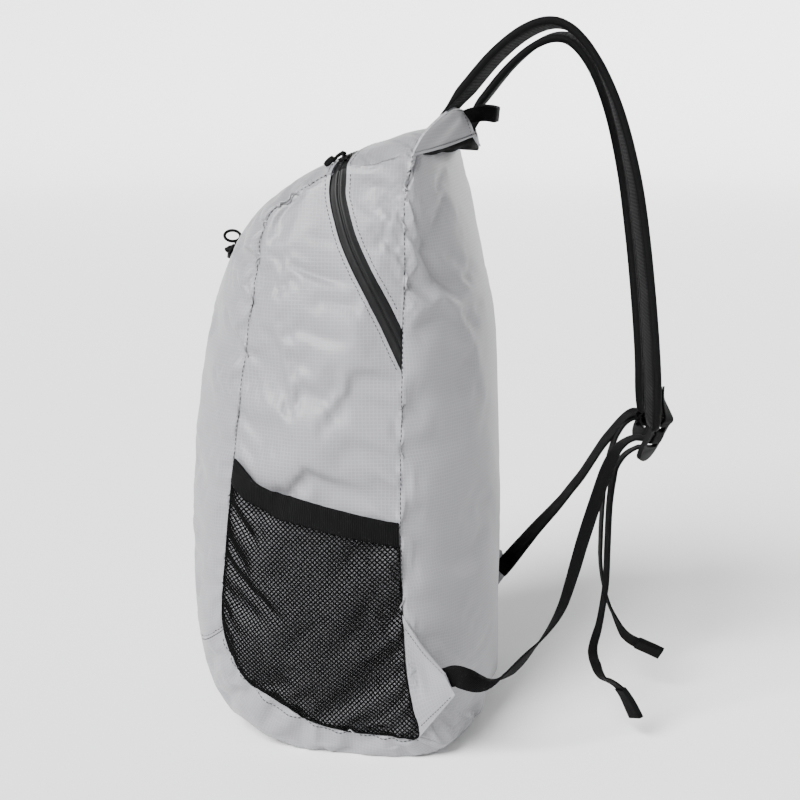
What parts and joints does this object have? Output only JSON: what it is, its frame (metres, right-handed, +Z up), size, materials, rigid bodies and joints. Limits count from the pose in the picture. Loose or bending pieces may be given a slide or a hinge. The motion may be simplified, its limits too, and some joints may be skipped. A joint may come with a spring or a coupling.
{
  "type": "packable backpack",
  "caption": "Light soft backpack, stuffed full and standing on its base, with a curved top zip, mesh side pockets, padded shoulder straps and a haul loop.",
  "frame": {"origin": "on the floor under the middle of the pack's body, between its two side seams", "axes": "+X towards the wearer's right, +Y towards the wearer's back (the strap side), +Z up"},
  "size_m": [0.277, 0.3467, 0.5131],
  "materials": {
    "ripstop": "light grey ripstop nylon with a soft sheen",
    "coil_zip": "black coated reverse-coil zip",
    "net": "black open polyester net",
    "elastic": "black ribbed elastic binding",
    "spacer_mesh": "black knitted spacer mesh",
    "webbing": "black woven webbing and binding tape",
    "acetal": "black moulded acetal, satin",
    "cord": "black braided cord"
  },
  "bodies": {
    "root": {"side_panel_right": "ripstop", "side_panel_left": "ripstop", "front_panel": "ripstop", "back_panel": "ripstop", "base_panel": "ripstop", "top_panel": "ripstop", "yoke_wing_right": "ripstop", "yoke_wing_left": "ripstop", "bottom_wing_right": "ripstop", "bottom_wing_left": "ripstop", "main_zip_tape": "coil_zip", "front_zip_tape": "coil_zip", "mesh_pocket_right": "net", "mesh_pocket_left": "net", "pocket_binding_right": "elastic", "pocket_binding_left": "elastic", "strap_pad_right": "spacer_mesh", "strap_pad_left": "spacer_mesh", "yoke_lining": "spacer_mesh", "strap_binding_right": "webbing", "strap_binding_left": "webbing", "adjuster_loop_right": "webbing", "adjuster_loop_left": "webbing", "lower_webbing_right": "webbing", "lower_webbing_left": "webbing", "haul_loop": "webbing", "adjuster_right": "acetal", "adjuster_left": "acetal", "main_zip_slider": "acetal", "main_zip_pull": "acetal", "front_zip_slider": "acetal", "main_zip_cord": "cord", "front_zip_ring": "cord"}
  },
  "joints": []
}
